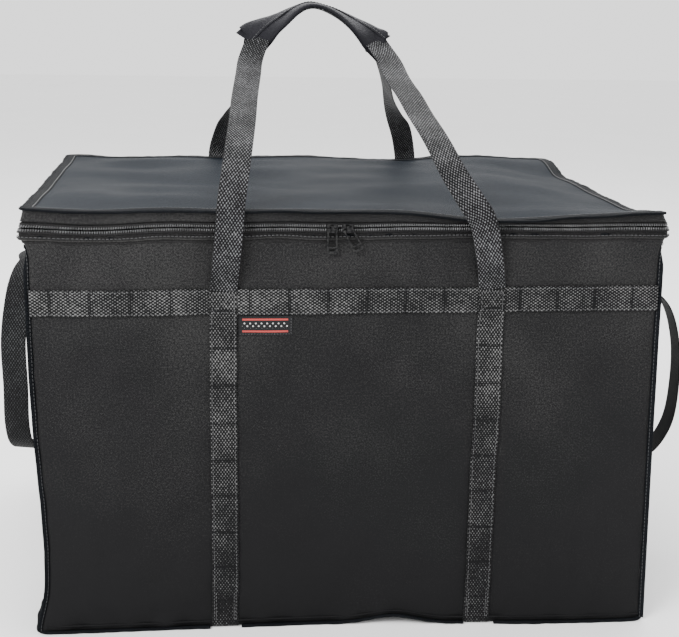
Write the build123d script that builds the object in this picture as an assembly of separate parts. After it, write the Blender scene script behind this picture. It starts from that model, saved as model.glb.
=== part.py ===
"""Insulated food carrier: a soft zip-top box bag with an insulating lining, two webbing carry
loops that meet under a wrapped grip, and a webbing loop on each side.

Millimetres. +Z up, the front faces -Y, and +X is the right of someone who faces the front.
The origin is on the floor, under the middle of the bag.
"""
import os
from math import cos, radians, sin

from build123d import *

# Overall size of the bag, without its seams and straps
WIDTH = 584.0
DEPTH = 432.0
LID_TOP = 408.0

HALF_W = WIDTH / 2
HALF_D = DEPTH / 2

# Layers of a wall, from the outside in
SHELL = 1.0  # woven outer cloth
FOAM = 6.0
FOIL = 0.5

# Webbing
WEB_WIDTH = 25.4
WEB = 1.4
HALF_WEB = WEB / 2

# Heights
FLOOR_TOP = WEB + SHELL  # top face of the outer bottom panel, which rests on the straps
SAG_FROM_STRAP = 14.0  # the bottom panel hangs to the floor from this far past a strap
SAG_FROM_EDGE = 40.0
WALL_TOP = 386.0
HEM_LOW = 379.0
HEM_HIGH = 384.5
BAND_LOW = 312.5
BAND_HIGH = BAND_LOW + WEB_WIDTH - 1.0

# Zip, centred on a plane just outside the wall
COIL = 2.7  # height of one coil, and nearly its depth
COIL_DEPTH = 2.4
COIL_GAP = 1.6  # between the lower and the upper coil
COIL_OUT = 1.5  # how far the coils stand out past the wall
ZIP_MID = 392.5
TAPE = 0.6
ZIP_REAR = 198.0  # how far back the side runs of the zip reach

# Lid
SKIRT_LOW = 398.0
LID_FOAM_LOW = 400.5
LID_GROW = 1.8  # how far the lid stands out past the walls
BINDING = 3.7  # width of the bound seam round the lid
SEAM = 4.0  # width of the bound seams down the corners and round the bottom
LID_X = HALF_W + LID_GROW
LID_Y = HALF_D + LID_GROW

# Straps, as the places of their middles across the front and the rear
STRAP_LEFT = -118.0
STRAP_RIGHT = 129.0

# Carry loops, which swing about lines across the bag just above the horizontal bands:
# middle of a leg from the band up to the grip, as distance from the bag's middle and height
LEG_PROFILE = [
    (221, 341.5), (226, 364), (227.5, 397), (227, 417), (214, 442),
    (190, 466), (152, 487), (105, 503), (60, 520), (24, 537),
]
# where each leg is across the bag, at those points
LEG_X = {
    "front_left": (-117, -115, -112, -110.5, -106.5, -102, -97.5, -93.5, -88.5, -84),
    "front_right": (130.5, 126, 119, 107, 91.5, 81, 73.5, 67.5, 61.5, 57),
    "rear_left": (-113.5, -113, -113, -112, -105, -97.5, -91, -87.5, -86.5, -86),
    "rear_right": (120.5, 121, 120, 118, 111, 98, 86, 75, 64.5, 57),
}
# arch of the grip, in the upright plane across the middle of the bag, as (x, z)
ARCH = [(-80, 551), (-52, 572), (-20, 587), (20, 572), (54, 551)]
LAYER_GAP = 0.6  # between the two loops where the grip holds them together
WRAP = 1.5  # the grip's cloth, folded double
WRAP_EDGE = 15.5  # how far it reaches each side of the straps' middle

# Side loops: each swings about an upright line on its side panel
SIDE_Y = -60.0
SIDE_PIVOT = HALF_W + 2.0
# middle of the strap: distance out from the panel, height, and width of the strap there
SIDE_LOOP = {
    "left": [
        (3.4, 345, 3.4), (16, 343, 9), (34, 339, 20), (52, 332, 24), (70, 314, WEB_WIDTH),
        (83, 275, WEB_WIDTH), (86, 225, WEB_WIDTH), (84, 180, WEB_WIDTH), (72, 160, 24),
        (44, 149, 20), (16, 141, 9), (3.4, 137, 3.4),
    ],
    "right": [
        (3.4, 322, 3.4), (16, 317, 9), (36, 307, 20), (65, 282, WEB_WIDTH), (80, 240, WEB_WIDTH),
        (84, 192, WEB_WIDTH), (80, 150, WEB_WIDTH), (62, 120, 24), (36, 109, 20), (16, 104, 9),
        (3.4, 101, 3.4),
    ],
}
# heights of each side loop's two sewn ends
SIDE_SEWN = {"left": ((348, 370), (108, 134)), "right": ((325, 353), (70, 98))}
LEFT_TURN = 74.0  # degrees that the left loop has flopped towards the front

# Sliders and pulls
SLIDER_X = {"left": -19.3, "right": -5.0}
PLATE = 1.2  # thickness of a slider's front plate
REAR_PLATE = 1.0
PLATE_HALF = 5.2  # half the width of both plates
PLATE_CORNER = 2.2
SLIDER_LOW = 388.4
SLIDER_HIGH = 396.6
PLATE_CLEAR = 0.3  # between a plate and the coils
BRIDGE_OUT = 5.7  # how far the bridge stands out from the coils' side of the front plate
BRIDGE_ROOF = 1.2
BRIDGE_FOOT = 1.5  # height of each foot of the bridge
PULL_HEIGHT = 391.9  # of the bar that the pull swings on
PULL_OUT = 2.85  # of that bar, from the coils' side of the front plate
PULL_WIRE = 1.6
PULL_LONG = 22.5
PULL_TILT = {"left": 0.0, "right": -28.0}


def block(x, y, z):
    """A box from its (low, high) limits along each axis."""
    size = [high - low for low, high in (x, y, z)]
    middle = [(high + low) / 2 for low, high in (x, y, z)]
    return Pos(*middle) * Box(*size)


def facing_rear(shape):
    """The same thing on the rear of the bag."""
    return mirror(shape, about=Plane.XZ)


def facing_right(shape):
    """The same thing on the right of the bag."""
    return mirror(shape, about=Plane.YZ)


def strip(stations, section):
    """A strip through (middle, direction along, direction out of its face) stations."""
    faces = []
    for i, (middle, along, out) in enumerate(stations):
        across = along.cross(out).normalized()
        plane = Plane(origin=middle, x_dir=across, z_dir=across.cross(out))
        faces.append(plane * section(i))
    return loft(faces, ruled=True)


def save(name, shape):
    export_step(shape, f"parts/{name}.step")


# ---------------------------------------------------------------- the box of the bag


def wall_layers(prefix, inset, thick, z):
    """Four upright layers that meet at the corners: front and rear run the full width."""
    x, y = HALF_W - inset, HALF_D - inset
    front = block((-x, x), (-y, -y + thick), z)
    left = block((-x, -x + thick), (-y + thick, y - thick), z)
    save(f"{prefix}_front", front)
    save(f"{prefix}_rear", facing_rear(front))
    save(f"{prefix}_left", left)
    save(f"{prefix}_right", facing_right(left))


def floor_layer(inset, z):
    x, y = HALF_W - inset, HALF_D - inset
    return block((-x, x), (-y, y), z)


def bottom_cloth():
    """The outer bottom, which hangs down to the floor between the two straps under it."""
    clear = WEB_WIDTH / 2 + SAG_FROM_STRAP
    x = (STRAP_LEFT + clear, STRAP_RIGHT - clear)
    sag = block(x, (-HALF_D + SAG_FROM_EDGE, HALF_D - SAG_FROM_EDGE), (0, WEB))
    return floor_layer(SHELL, (WEB, FLOOR_TOP)) + sag


def body_walls():
    foam_top = FLOOR_TOP + FOAM
    wall_layers("panel", 0, SHELL, (WEB, WALL_TOP))
    save("panel_bottom", bottom_cloth())
    wall_layers("foam", SHELL, FOAM, (FLOOR_TOP, WALL_TOP))
    save("foam_bottom", floor_layer(SHELL + FOAM, (FLOOR_TOP, foam_top)))
    wall_layers("liner", SHELL + FOAM, FOIL, (foam_top, WALL_TOP))
    save("liner_bottom", floor_layer(SHELL + FOAM + FOIL, (foam_top, foam_top + FOIL)))


def three_sides(outer_x, outer_y, thick, z, rear):
    """Front, left and right runs of something that stops short of the rear."""
    front = block((-outer_x, outer_x), (-outer_y, -outer_y + thick), z)
    left = block((-outer_x, -outer_x + thick), (-outer_y + thick, rear), z)
    return [front, left, facing_right(left)]


def ring(outer_x, outer_y, thick, z):
    """Four runs round the bag, as separate solids that meet at the corners."""
    front = block((-outer_x, outer_x), (-outer_y, -outer_y + thick), z)
    left = block((-outer_x, -outer_x + thick), (-outer_y + thick, outer_y - thick), z)
    return [front, facing_rear(front), left, facing_right(left)]


def seams():
    """Bound edges: the hem at the top, the four corners, and round the bottom."""
    hem_out = TAPE + SHELL
    hem = three_sides(HALF_W + hem_out, HALF_D + hem_out, SHELL, (HEM_LOW, HEM_HIGH), HALF_D)
    save("hem_binding", Compound(hem))

    corner = block((-HALF_W - SEAM, -HALF_W), (-HALF_D, -HALF_D + 2), (2.5, HEM_LOW - 0.5))
    corners = [corner, facing_right(corner), facing_rear(corner)]
    corners.append(facing_right(facing_rear(corner)))
    save("corner_bindings", Compound(corners))

    runs = ring(HALF_W + SEAM, HALF_D + SEAM, SEAM, (0, 2))
    room = [
        block((x - WEB_WIDTH / 2 - 0.3, x + WEB_WIDTH / 2 + 0.3), (-DEPTH, DEPTH), (-1, 3))
        for x in (STRAP_LEFT, STRAP_RIGHT)
    ]
    pieces = []
    for run in runs:
        for gap in room:
            run = run - gap
        pieces += run.solids()
    save("bottom_binding", Compound(pieces))


# ---------------------------------------------------------------- webbing on the bag


def sewn_straps():
    band = block((-HALF_W, HALF_W), (-HALF_D - WEB, -HALF_D), (BAND_LOW, BAND_HIGH))
    save("band_front", band)
    save("band_rear", facing_rear(band))
    for side, x in (("left", STRAP_LEFT), ("right", STRAP_RIGHT)):
        across = (x - WEB_WIDTH / 2, x + WEB_WIDTH / 2)
        on_panel = block(across, (-HALF_D - WEB, -HALF_D), (0, BAND_LOW - 0.3))
        over_band = block(
            across, (-HALF_D - 2 * WEB, -HALF_D - WEB), (BAND_LOW - 3, BAND_HIGH + 1)
        )
        upright = on_panel + over_band
        save(f"strap_front_{side}", upright)
        save(f"strap_rear_{side}", facing_rear(upright))
        save(f"strap_under_{side}", block(across, (-HALF_D, HALF_D), (0, WEB)))


def label():
    x = STRAP_LEFT + WEB_WIDTH / 2
    save("label", block((x, x + 51), (-HALF_D - 0.8, -HALF_D), (293, BAND_LOW)))


# ---------------------------------------------------------------- zip and sliders


def coil(z):
    return three_sides(
        HALF_W + COIL_OUT, HALF_D + COIL_OUT, COIL_DEPTH, (z, z + COIL), ZIP_REAR
    )


def zip_chain():
    lower_coil = ZIP_MID - COIL_GAP / 2 - COIL
    upper_coil = ZIP_MID + COIL_GAP / 2
    save("zip_coil_lower", Compound(coil(lower_coil)))
    save("zip_coil_upper", Compound(coil(upper_coil)))
    outer = (HALF_W + TAPE, HALF_D + TAPE, TAPE)
    save("zip_tape_lower", Compound(three_sides(*outer, (HEM_LOW, lower_coil), ZIP_REAR)))
    upper_tape = three_sides(*outer, (upper_coil + COIL, LID_TOP - 3), ZIP_REAR)
    save("zip_tape_upper", Compound(upper_tape))
    tab = block((-HALF_W - 2, -HALF_W), (ZIP_REAR + 0.5, ZIP_REAR + 9), (WALL_TOP, 396))
    save("zip_end_tabs", Compound([tab, facing_right(tab)]))


def slider(x):
    """Front and back plates joined between the coils, and a bridge that holds the pull."""
    front = -HALF_D - COIL_OUT - PLATE_CLEAR
    back = front + COIL_DEPTH + 2 * PLATE_CLEAR
    wide = (x - PLATE_HALF, x + PLATE_HALF)
    heights = (SLIDER_LOW, SLIDER_HIGH)
    shield = block(wide, (front - PLATE, front), heights)
    shield = fillet(shield.edges().filter_by(Axis.Y), PLATE_CORNER)
    rear_plate = block(wide, (back, back + REAR_PLATE), heights)
    rear_plate = fillet(rear_plate.edges().filter_by(Axis.Y), PLATE_CORNER)
    post = block((x - 1.5, x + 1.5), (front, back), (ZIP_MID - 0.45, ZIP_MID + 0.45))
    low, high = SLIDER_LOW + 0.3, SLIDER_HIGH - 1.1
    bridge = block((x - 1.2, x + 1.2), (front - BRIDGE_OUT, front - PLATE), (low, high))
    bridge = fillet(bridge.edges().filter_by(Axis.X).group_by(Axis.Y)[0], 1.1)
    slot_y = (front - BRIDGE_OUT + BRIDGE_ROOF, front - PLATE)
    slot = block((x - 2, x + 2), slot_y, (low + BRIDGE_FOOT, high - BRIDGE_FOOT))
    return shield + rear_plate + post + (bridge - slot)


def pull(x, tilt):
    """A flat wire frame, wider at its end, that hangs from the slider's bridge."""
    bar_y = -HALF_D - COIL_OUT - PLATE_CLEAR - PULL_OUT
    top = PULL_WIRE / 2
    half = [(-4.4, top), (-4.8, -13), (-5.4, -PULL_LONG)]
    outline = half + [(-x, y) for x, y in reversed(half)]
    frame = make_face(Polyline(*outline, close=True))
    frame = fillet(frame.vertices().group_by(Axis.Y)[0], 2.4)
    frame -= Pos(0, -8.3) * Rectangle(6.4, 15)  # room for the bridge at every lift
    frame -= Pos(0, -18.7) * Rectangle(6.4, 2.6)
    solid = extrude(Plane.XZ * frame, PULL_WIRE / 2, both=True)
    return Pos(x, bar_y, PULL_HEIGHT) * Rot(0, tilt, 0) * solid


def sliders():
    for side, x in SLIDER_X.items():
        save(f"slider_{side}", slider(x))
        save(f"zip_pull_{side}", pull(x, PULL_TILT[side]))


# ---------------------------------------------------------------- lid


def lid():
    skirt_top = LID_TOP - SHELL
    save("lid_panel", block((-LID_X, LID_X), (-LID_Y, LID_Y), (skirt_top, LID_TOP)))
    x, y = HALF_W - 2, HALF_D - 2
    save("lid_foam", block((-x, x), (-y, y), (LID_FOAM_LOW, skirt_top)))
    save("lid_liner", block((-x, x), (-y, y), (LID_FOAM_LOW - FOIL, LID_FOAM_LOW)))
    save("lid_skirt", Compound(ring(LID_X, LID_Y, SHELL, (SKIRT_LOW, skirt_top))))
    edge = ring(LID_X + BINDING, LID_Y + BINDING, BINDING, (LID_TOP - 2.5, LID_TOP))
    save("lid_binding", Compound(edge))
    x = HALF_W + TAPE + SHELL
    save("lid_hinge_strip", block((-x, x), (HALF_D, HALF_D + SHELL), (HEM_LOW, 396.8)))


# ---------------------------------------------------------------- carry loops and grip


def leg(name):
    """Stations up one leg; its width lies across the bag."""
    side = -1 if name.startswith("front") else 1
    profile = zip(LEG_X[name], LEG_PROFILE)
    path = Spline([Vector(x, side * y, z) for x, (y, z) in profile])
    stations = []
    for step in range(15):
        along = path % (step / 14)
        out = Vector(1, 0, 0).cross(along).normalized() * -side
        stations.append((path @ (step / 14), along, out))
    return stations


def arch(offset, first=0.0, last=1.0, steps=15):
    """Stations over the arch: upright and facing the front at its ends, flat at its top."""
    path = Spline([Vector(x, 0, z) for x, z in ARCH])
    stations = []
    for step in range(steps):
        t = first + (last - first) * step / (steps - 1)
        along = path % t
        above = Vector(-along.Z, 0, along.X)
        turn = radians(90) * sin(radians(180) * t)
        out = above * sin(turn) + Vector(0, -1, 0) * cos(turn)
        stations.append((path @ t + out * offset, along, out))
    return stations


def carry_loop(end):
    """One loop: up its left leg, over the arch under the grip, and down its right leg."""
    up = leg(f"{end}_left")
    down = [(middle, along * -1, out) for middle, along, out in reversed(leg(f"{end}_right"))]
    offset = HALF_WEB + LAYER_GAP / 2
    over = arch(offset if end == "front" else -offset)
    if end == "rear":
        over = [(middle, along, out * -1) for middle, along, out in over]
    return strip(up + over + down, lambda i: Rectangle(WEB_WIDTH, WEB))


def grip():
    """Cloth over the outside of both straps and round one edge, open towards the rear."""
    inside = WEB + LAYER_GAP / 2 + 0.5
    outside = inside + WRAP
    edge = WRAP_EDGE

    def section(i):
        return make_face(
            Polyline(
                (-edge, inside), (-edge, outside), (edge, outside),
                (edge, -inside), (edge - WRAP, -inside), (edge - WRAP, inside), close=True,
            )
        )

    return strip(arch(0.0), section)


def side_loop(points):
    """A side loop on the right, standing straight out from its panel."""
    path = Spline([Vector(HALF_W + out, SIDE_Y, z) for out, z, width in points])
    widths = [width for out, z, width in points]
    count = 4 * (len(widths) - 1)
    stations = []
    for step in range(count + 1):
        along = path % (step / count)
        stations.append((path @ (step / count), along, Vector(0, 1, 0).cross(along)))

    def section(i):
        place = i / 4
        low = min(int(place), len(widths) - 2)
        width = widths[low] + (widths[low + 1] - widths[low]) * (place - low)
        return Rectangle(width, WEB)

    return strip(stations, section)


def side_anchors(heights):
    """The sewn ends of a side loop, flat on the right panel."""
    y = (SIDE_Y - WEB_WIDTH / 2, SIDE_Y + WEB_WIDTH / 2)
    x = (HALF_W, HALF_W + WEB)
    return Compound([block(x, y, z) for z in heights])


def loops():
    save("front_carry_loop", carry_loop("front"))
    save("rear_carry_loop", carry_loop("rear"))
    save("grip_wrap", grip())
    save("side_loop_right", side_loop(SIDE_LOOP["right"]))
    pivot = Pos(-SIDE_PIVOT, SIDE_Y, 0)
    left = facing_right(side_loop(SIDE_LOOP["left"]))
    save("side_loop_left", pivot * Rot(0, 0, LEFT_TURN) * pivot.inverse() * left)
    save("side_loop_ends_right", side_anchors(SIDE_SEWN["right"]))
    save("side_loop_ends_left", facing_right(side_anchors(SIDE_SEWN["left"])))


# ---------------------------------------------------------------- everything


def main():
    os.makedirs("parts", exist_ok=True)
    body_walls()
    seams()
    sewn_straps()
    label()
    zip_chain()
    sliders()
    lid()
    loops()


main()
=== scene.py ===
"""Looks of a soft insulated food carrier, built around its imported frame.

Shapes are worked out in millimetres, in the frame's own axes, and scaled when a mesh is made:
+Z up, the front faces -Y. The bag's pieces are laid out straight first, and then one soft
deformation moves them all, so that cloth, foam, foil and straps stay together.
"""
from math import cos, pi, radians, sin

import bmesh
import bpy
import numpy as np
from mathutils import Matrix, Vector


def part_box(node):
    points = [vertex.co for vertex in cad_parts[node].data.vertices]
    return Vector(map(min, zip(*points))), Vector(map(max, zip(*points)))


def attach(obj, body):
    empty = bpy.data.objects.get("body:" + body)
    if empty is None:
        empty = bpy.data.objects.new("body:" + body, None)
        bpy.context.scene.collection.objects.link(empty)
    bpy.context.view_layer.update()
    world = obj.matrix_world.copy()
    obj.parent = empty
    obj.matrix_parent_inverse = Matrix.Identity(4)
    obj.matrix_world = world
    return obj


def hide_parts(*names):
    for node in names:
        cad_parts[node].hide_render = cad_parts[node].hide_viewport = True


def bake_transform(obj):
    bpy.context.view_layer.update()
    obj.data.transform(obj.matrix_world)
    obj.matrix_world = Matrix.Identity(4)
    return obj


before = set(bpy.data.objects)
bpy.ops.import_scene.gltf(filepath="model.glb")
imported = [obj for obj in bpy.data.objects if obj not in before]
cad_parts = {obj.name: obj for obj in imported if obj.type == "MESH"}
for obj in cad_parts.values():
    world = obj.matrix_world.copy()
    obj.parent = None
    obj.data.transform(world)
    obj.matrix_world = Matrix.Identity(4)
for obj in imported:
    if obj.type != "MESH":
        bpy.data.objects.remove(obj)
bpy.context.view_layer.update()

MM = 0.001


def limits(node):
    """Lowest and highest corner of a node, in millimetres."""
    low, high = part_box(node)
    return np.array(low) / MM, np.array(high) / MM


# ---------------- places from the frame

HALF_W = limits("panel_front")[1][0]
HALF_D = limits("panel_rear")[1][1]
WALL_TOP = limits("panel_front")[1][2]
FLOOR_TOP = limits("panel_bottom")[1][2]
SHELL = np.ptp([p[1] for p in limits("panel_front")])
FOAM = limits("foam_bottom")[1][2] - limits("foam_bottom")[0][2]
HEM_LOW, HEM_HIGH = limits("hem_binding")[0][2], limits("hem_binding")[1][2]
BAND_LOW, BAND_HIGH = limits("band_front")[0][2], limits("band_front")[1][2]
LID_X, LID_Y = limits("lid_panel")[1][:2]
LID_TOP = limits("lid_panel")[1][2]
FLANGE_X = limits("lid_binding")[1][0]
SKIRT_LOW = limits("lid_skirt")[0][2]
COIL_LOW = limits("zip_coil_lower")[0][2]
COIL_HIGH = limits("zip_coil_upper")[1][2]
ZIP_REAR = limits("zip_coil_lower")[1][1]
SEAM_X = limits("corner_bindings")[1][0]
FOOT_X = limits("bottom_binding")[1][0]
WEB = limits("strap_under_left")[1][2] - limits("strap_under_left")[0][2]
STRAPS = {k: np.mean([p[0] for p in limits(f"strap_front_{k}")]) for k in ("left", "right")}
WEB_WIDTH = np.ptp([p[0] for p in limits("strap_front_left")])

# carry loops: middle of a leg from the band up to the grip, as (distance from the bag's
# middle, height), and where each leg is across the bag at those points
LEG_PROFILE = [
    (218.2, 334.5), (218.8, 340), (222, 350), (226, 366), (227.5, 397), (227, 417), (214, 442),
    (190, 466), (152, 487), (105, 503), (60, 520), (24, 537),
]
LEG_X = {
    "front_left": (-118, -117.5, -116.5, -115, -112, -110.5, -106.5, -102, -97.5, -93.5, -88.5, -84),
    "front_right": (131.5, 130.5, 128.7, 126, 119, 107, 91.5, 81, 73.5, 67.5, 61.5, 57),
    "rear_left": (-116, -115, -113.5, -113, -113, -112, -105, -97.5, -91, -87.5, -86.5, -86),
    "rear_right": (127, 125, 121, 121, 120, 118, 111, 98, 86, 75, 64.5, 57),
}
ARCH = [(-83, 553), (-53, 573), (-20, 589), (20, 573), (55, 547)]

# side loops: distance out from the panel and height, for a loop that stands straight out
SIDE_Y = -60.0
SIDE_PIVOT = HALF_W + 2.0
SIDE_LOOP = {
    "left": [
        (1.2, 369), (1.2, 358), (1.6, 349), (7, 344.5), (16, 343), (34, 339), (50, 331), (65, 312),
        (78, 275), (83, 225), (83, 180), (72, 160), (44, 149), (18, 142), (7, 138), (1.6, 133),
        (1.2, 122), (1.2, 109),
    ],
    "right": [
        (1.2, 352), (1.2, 338), (1.6, 327), (7, 320), (16, 317), (36, 307), (65, 282), (80, 240),
        (84, 192), (80, 150), (62, 120), (36, 109), (18, 104.5), (7, 102), (1.6, 97), (1.2, 85),
        (1.2, 71),
    ],
}
SIDE_SEWN = {"left": ((350, 368), (110, 132)), "right": ((328, 350), (72, 95))}
SEWN_HALF = 10.0  # half the width of a sewn box across webbing
LEFT_TURN = 74.0  # degrees that the left loop has fallen forwards
TACK = 36.0  # from one cross stitch to the next where webbing is sewn down
SOFT_RISE = 385.0  # height over which the walls bulge
THIN_FOIL = 0.4
STRAP_X = {"left": (-118, -118), "right": (127, 131.5)}  # at the floor, and at the band
UP = [0.0, 0.0, 1.0]

LAMPS = [  # name, place and size in metres, watts
    ("key", (-1.3, -1.5, 1.7), 1.0, 70),
    ("top", (0.3, 1.2, 2.4), 2.2, 70),
    ("side", (2.4, -0.9, 1.3), 1.6, 8),
]
SKY = 1.7
CAMERA_AT = (-0.14109, -1.34327, 0.58506)
CAMERA_TURN = (6.586, 13.736, 0.896)  # degrees to the right, down, and of roll
LENS = 66.95


# ---------------- shape helpers


def smooth(x, low, high):
    """0 below low, 1 above high, and a smooth step between."""
    t = np.clip((np.asarray(x, float) - low) / (high - low), 0, 1)
    return t * t * (3 - 2 * t)


def hump(x, middle, width):
    """A bell shape, 1 at the middle."""
    return np.exp(-(((np.asarray(x, float) - middle) / width) ** 2))


def ripple(a, b, seed, size, count=10, along=None, spread=pi):
    """Smooth irregular waves over a plane, mostly from -1 to 1, about size across."""
    rng = np.random.default_rng(seed)
    total = 0
    for _ in range(count):
        angle = (0 if along is None else along) + rng.uniform(-spread, spread)
        turns = 2 * pi / (size * rng.uniform(0.7, 1.7))
        total = total + np.sin((a * cos(angle) + b * sin(angle)) * turns + rng.uniform(0, 2 * pi))
    return total / np.sqrt(count)


def waver(along, seed, size):
    """The same kind of waves along one line."""
    return ripple(along, 0 * along, seed, size)


def curve(points, count):
    """Points along a smooth curve through the given ones, evenly spaced."""
    points = np.asarray(points, float)
    ends = np.vstack([2 * points[0] - points[1], points, 2 * points[-1] - points[-2]])
    fine = []
    for p0, p1, p2, p3 in zip(ends, ends[1:], ends[2:], ends[3:]):
        t = np.linspace(0, 1, 24, endpoint=False)[:, None]
        fine.append(
            0.5 * (2 * p1 + (p2 - p0) * t + (2 * p0 - 5 * p1 + 4 * p2 - p3) * t**2
                   + (3 * p1 - p0 - 3 * p2 + p3) * t**3)
        )
    return even(np.vstack(fine + [points[-1:]]), count)


def gone_along(path):
    """How far along a path each of its points is."""
    return np.r_[0, np.cumsum(np.linalg.norm(np.diff(path, axis=0), axis=1))]


def even(path, count):
    """The same path with evenly spaced points."""
    gone = gone_along(path)
    want = np.linspace(0, gone[-1], count)
    return np.stack([np.interp(want, gone, path[:, k]) for k in range(path.shape[1])], -1)


def unit(v):
    """The same directions with length 1."""
    return v / np.maximum(np.linalg.norm(v, axis=-1, keepdims=True), 1e-9)


def path_length(path):
    return np.linalg.norm(np.diff(path, axis=0), axis=1).sum()


# ---------------- how the bag has settled


def front_edge_dip(x):
    """The lid's front edge sags to the right, most where the right strap pulls on it."""
    dip = 2.5 * smooth(-x, 60, 290) - 3.0 * smooth(x, 0, 110) - 6.5 * hump(x, 140, 62)
    return dip + 2.2 * smooth(x, 235, 292)


def settle(p):
    """Moves points of the straight bag to where the soft one has them."""
    p = np.array(p, float)
    x, y, z = p[..., 0], p[..., 1], p[..., 2]
    rise = z / SOFT_RISE
    low = np.clip(1 - rise, 0, 1)
    body = smooth(z, HEM_HIGH + 2, HEM_LOW - 30)
    across = 1 - np.clip(np.abs(x) / HALF_W, 0, 1) ** 4
    deep = 1 - np.clip(np.abs(y) / HALF_D, 0, 1) ** 4
    mid = np.clip(4 * rise * (1 - rise), 0, 1) ** 0.6
    near_y = smooth(np.abs(y), 120, 208)
    near_x = smooth(np.abs(x), 200, 284)

    front = across * mid * (2.6 + 2.6 * ripple(x, z, 3, 190)) * body
    front = front + 1.1 * ripple(x, z, 5, 74) * across * mid * body
    rear = across * mid * (3.0 + 2.0 * ripple(x, z, 8, 230)) * body
    side = deep * mid * (3.0 + 2.0 * ripple(y, z, 11, 190)) * body
    out_y = np.where(y < 0, front, rear) * near_y
    p[..., 1] += np.sign(y) * out_y
    p[..., 0] += np.sign(x) * side * near_x

    # the front's lower right corner is kicked forward, and the left foot outwards
    p[..., 1] -= 19 * smooth(x, -60, 270) * low**1.3 * smooth(-y, 0, 210)
    p[..., 0] -= 8.5 * hump(z, 2, 28) * smooth(-x, 230, 290) * hump(y, -185, 60)
    p[..., 0] += 7.5 * hump(z, 80, 110) * smooth(-x, 230, 292) * smooth(-y, 100, 216)
    # the bottom seam waves up a little right of the middle of the front
    p[..., 2] += 7.5 * hump(x, 47, 30) * low**7 * smooth(-y, 60, 214)
    # the corners of the zip's hem stand out past the walls
    hem = hump(z, 388, 11) * hump(np.abs(y), HALF_D, 46)
    p[..., 0] += np.sign(x) * 6.5 * hem * smooth(np.abs(x), 225, 292) * (y < 0)
    p[..., 2] += 0.9 * ripple(x, y, 21, 120) * smooth(z, 372, 384)
    return p


def settle_lid(p):
    """The same for the lid, whose top waves and whose right edge droops inwards."""
    p = settle(p)
    x, y, z = p[..., 0], p[..., 1], p[..., 2]
    high = smooth(z, 394, 407)
    front = smooth(-y, 90, 222)
    right = smooth(x, 175, 296)
    belly = 1 - smooth(np.abs(y + 20) / 215, 0.55, 1.0)
    top = (1 - smooth(np.abs(x) / HALF_W, 0.75, 1.0)) * (1 - smooth(np.abs(y) / HALF_D, 0.7, 1.0))
    p[..., 2] += high * front_edge_dip(x) * front
    p[..., 2] -= high * 11 * right * belly
    p[..., 0] -= high * 6 * right * belly
    p[..., 2] += high * top * (1.0 + 2.4 * ripple(x, y, 31, 250, along=pi / 2, spread=0.5))
    p[..., 2] += high * top * 0.8 * ripple(x, y, 33, 80, along=pi / 2, spread=0.8)
    p[..., 2] += high * (1 - front) * smooth(y, 120, 218) * 2.0 * ripple(x, y, 37, 210)
    return p


# ---------------- mesh helpers

materials = {}


def new_object(name, points, faces, uv, material):
    """A mesh object from points in millimetres and faces; uv is one pair for each point."""
    mesh = bpy.data.meshes.new(name)
    mesh.from_pydata((np.asarray(points, float).reshape(-1, 3) * MM).tolist(), [], faces)
    layer = mesh.uv_layers.new(name="UVMap")
    corner = np.zeros(len(mesh.loops), int)
    mesh.loops.foreach_get("vertex_index", corner)
    pairs = np.asarray(uv, float).reshape(-1, 2)[corner] * MM
    layer.data.foreach_set("uv", pairs.astype(np.float32).ravel())
    mesh.polygons.foreach_set("use_smooth", [True] * len(mesh.polygons))
    mesh.validate()
    mesh.update()
    obj = bpy.data.objects.new(name, mesh)
    bpy.context.collection.objects.link(obj)
    mesh.materials.append(materials[material])
    return obj


def grid_faces(rows, cols, start=0, flip=False, wrap_rows=False, wrap_cols=False):
    """Four-sided faces over a grid of points, which may close on itself either way."""
    faces = []
    for r in range(rows if wrap_rows else rows - 1):
        for c in range(cols if wrap_cols else cols - 1):
            a = start + r * cols + c
            b = start + r * cols + (c + 1) % cols
            d = start + ((r + 1) % rows) * cols + c
            e = start + ((r + 1) % rows) * cols + (c + 1) % cols
            faces.append((a, d, e, b) if flip else (a, b, e, d))
    return faces


def fix_normals(obj):
    """Turns every face of a closed mesh outwards."""
    soft = bmesh.new()
    soft.from_mesh(obj.data)
    bmesh.ops.recalc_face_normals(soft, faces=soft.faces)
    soft.to_mesh(obj.data)
    soft.free()


def slab(name, outer, inner, uv, material, wrap=False):
    """A closed sheet from two grids of points: the outer face and the inner one."""
    rows, cols = outer.shape[:2]
    count = rows * cols
    faces = grid_faces(rows, cols, wrap_cols=wrap)
    faces += grid_faces(rows, cols, count, flip=True, wrap_cols=wrap)
    if wrap:
        top = count - cols
        pairs = [(k, (k + 1) % cols) for k in range(cols)]
        pairs += [(top + (k + 1) % cols, top + k) for k in range(cols)]
    else:
        edge = list(range(cols)) + [r * cols + cols - 1 for r in range(1, rows)]
        edge += [(rows - 1) * cols + c for c in range(cols - 2, -1, -1)]
        edge += [r * cols for r in range(rows - 2, 0, -1)]
        pairs = list(zip(edge, edge[1:] + edge[:1]))
    faces += [(b, a, a + count, b + count) for a, b in pairs]
    points = np.concatenate([outer.reshape(-1, 3), inner.reshape(-1, 3)])
    uvs = np.concatenate([uv.reshape(-1, 2)] * 2)
    obj = new_object(name, points, faces, uvs, material)
    fix_normals(obj)
    return obj


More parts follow.
